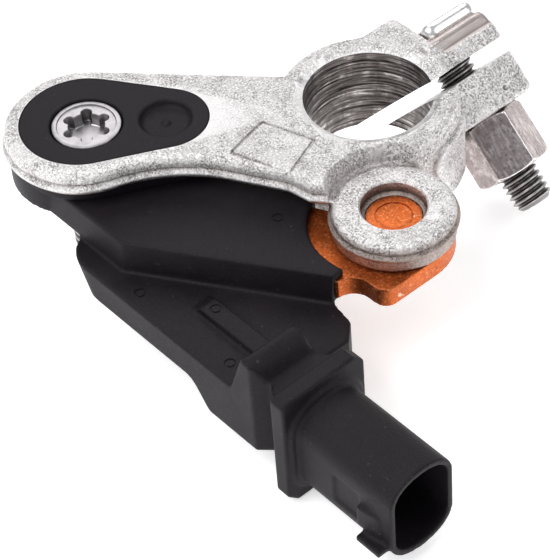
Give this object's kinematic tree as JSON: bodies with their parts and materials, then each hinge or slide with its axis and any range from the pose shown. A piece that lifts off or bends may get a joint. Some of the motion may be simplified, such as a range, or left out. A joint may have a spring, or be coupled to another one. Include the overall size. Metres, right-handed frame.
{
  "type": "battery sensor",
  "caption": "Battery post clamp with ring, ears, bolt and nut, its arm and boss carrying a copper shunt in a plastic housing with a flat-sided plug socket.",
  "frame": {"origin": "on the post bore's axis, at the ring's face that the battery post enters", "axes": "+Z is the way out of the bore's wide mouth, +X points from the bore to the clamping ears, the plug socket opens toward -Y"},
  "size_m": [0.069, 0.0859, 0.0264],
  "materials": {
    "tinned_brass": "tin plated casting, bright and grainy",
    "plated_steel": "plated, smooth",
    "stud_steel": "satin plated",
    "black_plastic": "matt moulded",
    "seal_rubber": "soft matt sealant",
    "copper": "bare copper, stamped",
    "resistance_alloy": "brushed resistance alloy",
    "board_laminate": "solder mask",
    "chip_plastic": "moulded package",
    "ceramic_parts": "fired body with metal ends",
    "pin_metal": "tin plated"
  },
  "bodies": {
    "sensor": {"pole_clamp": "tinned_brass", "terminal_stud": "stud_steel", "insulating_insert": "black_plastic", "sensor_housing": "black_plastic", "housing_cover": "black_plastic", "pin_carrier": "black_plastic", "cover_seal": "seal_rubber", "clamp_busbar": "copper", "cable_busbar": "copper", "shunt_strip": "resistance_alloy", "circuit_board": "board_laminate", "sensor_chip": "chip_plastic", "bus_chip": "chip_plastic", "protection_diode": "chip_plastic", "thermistor": "ceramic_parts", "filter_capacitors": "ceramic_parts", "supply_pin": "pin_metal", "data_pin": "pin_metal", "sense_pin_cable_side": "pin_metal", "sense_pin_clamp_side": "pin_metal"},
    "bolt": {"clamp_bolt": "plated_steel"},
    "nut": {"clamp_nut": "plated_steel"}
  },
  "joints": [
    {"name": "nut_turn", "type": "hinge", "parent": "sensor", "child": "nut", "pos_m": [0.0169, -0.00892, -0.01483], "axis": [0, -0.7431, -0.6691], "range_deg": [0, 1440]},
    {"name": "bolt_draw", "type": "slide", "parent": "sensor", "child": "bolt", "axis": [0, 0.7431, 0.6691], "range_m": [0, 0.004]}
  ],
  "couplings": [
    {"joint": "bolt_draw", "follows": "nut_turn", "m_per_rad": 0.00015915}
  ]
}
